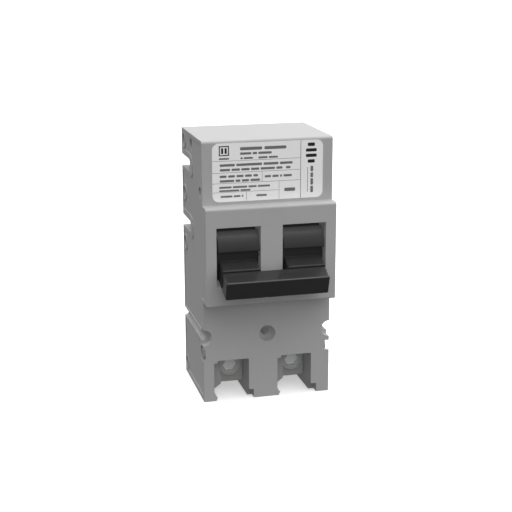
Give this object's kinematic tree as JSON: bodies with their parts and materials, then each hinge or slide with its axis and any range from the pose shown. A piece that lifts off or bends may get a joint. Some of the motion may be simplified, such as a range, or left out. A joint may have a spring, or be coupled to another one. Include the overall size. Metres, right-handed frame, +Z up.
{
  "type": "two pole circuit breaker",
  "caption": "Two-pole moulded-case circuit breaker with tied black toggles, screw lugs at the foot and plug-on jaws at the upper back.",
  "frame": {"origin": "on the mounting hole's axis, in the plane of the back face", "axes": "+X to the right seen from the front, -Y out of the front, +Z up from the terminal end to the line end"},
  "size_m": [0.0762, 0.0825, 0.1546],
  "materials": {
    "case": "fine-grained moulded thermoset",
    "toggle_black": "glossy moulded black",
    "label": "satin printed film",
    "rivet": "zinc plated",
    "steel": "plated steel",
    "spring_steel": "oil tempered wire",
    "arc_steel": "plated steel sheet",
    "copper": "bare copper strip",
    "silver": "silver alloy",
    "bimetal": "rolled thermostat strip",
    "brass": "machined brass",
    "lug_metal": "tin plated aluminium",
    "fibre": "vulcanised fibre",
    "trip_plastic": "moulded phenolic"
  },
  "bodies": {
    "case": {"left_casing": "case", "centre_casing": "case", "right_casing": "case", "label": "label", "rivets": "rivet", "left_cradle_pin": "steel", "left_magnet_yoke": "steel", "left_bimetal": "bimetal", "left_load_strap": "copper", "left_calibration_screw": "brass", "left_lug": "lug_metal", "left_line_jaw": "copper", "left_line_strap": "copper", "left_fixed_contact": "silver", "left_arc_plates": "arc_steel", "left_arc_chute_walls": "fibre", "left_braid": "copper", "right_cradle_pin": "steel", "right_magnet_yoke": "steel", "right_bimetal": "bimetal", "right_load_strap": "copper", "right_calibration_screw": "brass", "right_lug": "lug_metal", "right_line_jaw": "copper", "right_line_strap": "copper", "right_fixed_contact": "silver", "right_arc_plates": "arc_steel", "right_arc_chute_walls": "fibre", "right_braid": "copper"},
    "handle": {"left_toggle": "toggle_black", "right_toggle": "toggle_black", "tie_bar": "toggle_black", "left_arm_pins": "steel", "right_arm_pins": "steel"},
    "left_contact_lever": {"left_contact_arm": "copper", "left_moving_contact": "silver"},
    "left_spring": {"left_main_spring": "spring_steel"},
    "left_cradle_lever": {"left_cradle": "steel"},
    "left_armature_plate": {"left_armature": "steel"},
    "left_clamp_pad": {"left_pressure_pad": "steel"},
    "left_clamp_screw": {"left_lug_screw": "lug_metal"},
    "right_contact_lever": {"right_contact_arm": "copper", "right_moving_contact": "silver"},
    "right_spring": {"right_main_spring": "spring_steel"},
    "right_cradle_lever": {"right_cradle": "steel"},
    "right_armature_plate": {"right_armature": "steel"},
    "right_clamp_pad": {"right_pressure_pad": "steel"},
    "right_clamp_screw": {"right_lug_screw": "lug_metal"},
    "trip_shaft": {"trip_bar": "trip_plastic"}
  },
  "joints": [
    {"name": "handle_throw", "type": "hinge", "parent": "case", "child": "handle", "pos_m": [0, -0.0448, 0.04935], "axis": [-1, 0, 0], "range_deg": [0, 44]},
    {"name": "left_arm_swing", "type": "hinge", "parent": "handle", "child": "left_contact_lever", "pos_m": [-0.01905, -0.0489, 0.06063], "axis": [-1, 0, 0], "range_deg": [-50, 0]},
    {"name": "left_spring_swing", "type": "hinge", "parent": "left_contact_lever", "child": "left_spring", "pos_m": [-0.01905, -0.04807, 0.06657], "axis": [-1, 0, 0], "range_deg": [0, 22]},
    {"name": "right_arm_swing", "type": "hinge", "parent": "handle", "child": "right_contact_lever", "pos_m": [0.01905, -0.0489, 0.06063], "axis": [-1, 0, 0], "range_deg": [-50, 0]},
    {"name": "right_spring_swing", "type": "hinge", "parent": "right_contact_lever", "child": "right_spring", "pos_m": [0.01905, -0.04807, 0.06657], "axis": [-1, 0, 0], "range_deg": [0, 22]},
    {"name": "trip_shaft_turn", "type": "hinge", "parent": "case", "child": "trip_shaft", "pos_m": [0, -0.0245, 0.01255], "axis": [-1, 0, 0], "range_deg": [0, 5], "stiffness_Nm_per_rad": 0.05},
    {"name": "left_armature_pull", "type": "hinge", "parent": "case", "child": "left_armature_plate", "pos_m": [-0.01905, -0.0202, 0.00155], "axis": [-1, 0, 0], "range_deg": [0, 3.2]},
    {"name": "left_cradle_release", "type": "hinge", "parent": "case", "child": "left_cradle_lever", "pos_m": [-0.01905, -0.0275, 0.03655], "axis": [-1, 0, 0], "range_deg": [0, 5.2]},
    {"name": "right_armature_pull", "type": "hinge", "parent": "case", "child": "right_armature_plate", "pos_m": [0.01905, -0.0202, 0.00155], "axis": [-1, 0, 0], "range_deg": [0, 3.2]},
    {"name": "right_cradle_release", "type": "hinge", "parent": "case", "child": "right_cradle_lever", "pos_m": [0.01905, -0.0275, 0.03655], "axis": [-1, 0, 0], "range_deg": [0, 5.2]},
    {"name": "left_pad_travel", "type": "slide", "parent": "case", "child": "left_clamp_pad", "axis": [0, 1, 0], "range_m": [0, 0.006]},
    {"name": "left_screw_turn", "type": "hinge", "parent": "left_clamp_pad", "child": "left_clamp_screw", "pos_m": [-0.0207, -0.0485, -0.02065], "axis": [0, 1, 0], "range_deg": [0, 1440]},
    {"name": "right_pad_travel", "type": "slide", "parent": "case", "child": "right_clamp_pad", "axis": [0, 1, 0], "range_m": [0, 0.006]},
    {"name": "right_screw_turn", "type": "hinge", "parent": "right_clamp_pad", "child": "right_clamp_screw", "pos_m": [0.0174, -0.0485, -0.02065], "axis": [0, 1, 0], "range_deg": [0, 1440]}
  ],
  "couplings": [
    {"joint": "left_arm_swing", "follows": "handle_throw", "ratio": -1.1136},
    {"joint": "left_spring_swing", "follows": "handle_throw", "ratio": 0.48568},
    {"joint": "right_arm_swing", "follows": "handle_throw", "ratio": -1.1136},
    {"joint": "right_spring_swing", "follows": "handle_throw", "ratio": 0.48568},
    {"joint": "left_armature_pull", "follows": "trip_shaft_turn", "ratio": 0.6},
    {"joint": "left_cradle_release", "follows": "trip_shaft_turn", "ratio": 1},
    {"joint": "right_armature_pull", "follows": "trip_shaft_turn", "ratio": 0.6},
    {"joint": "right_cradle_release", "follows": "trip_shaft_turn", "ratio": 1},
    {"joint": "left_screw_turn", "follows": "left_pad_travel", "rad_per_m": 4188.8},
    {"joint": "right_screw_turn", "follows": "right_pad_travel", "rad_per_m": 4188.8}
  ]
}
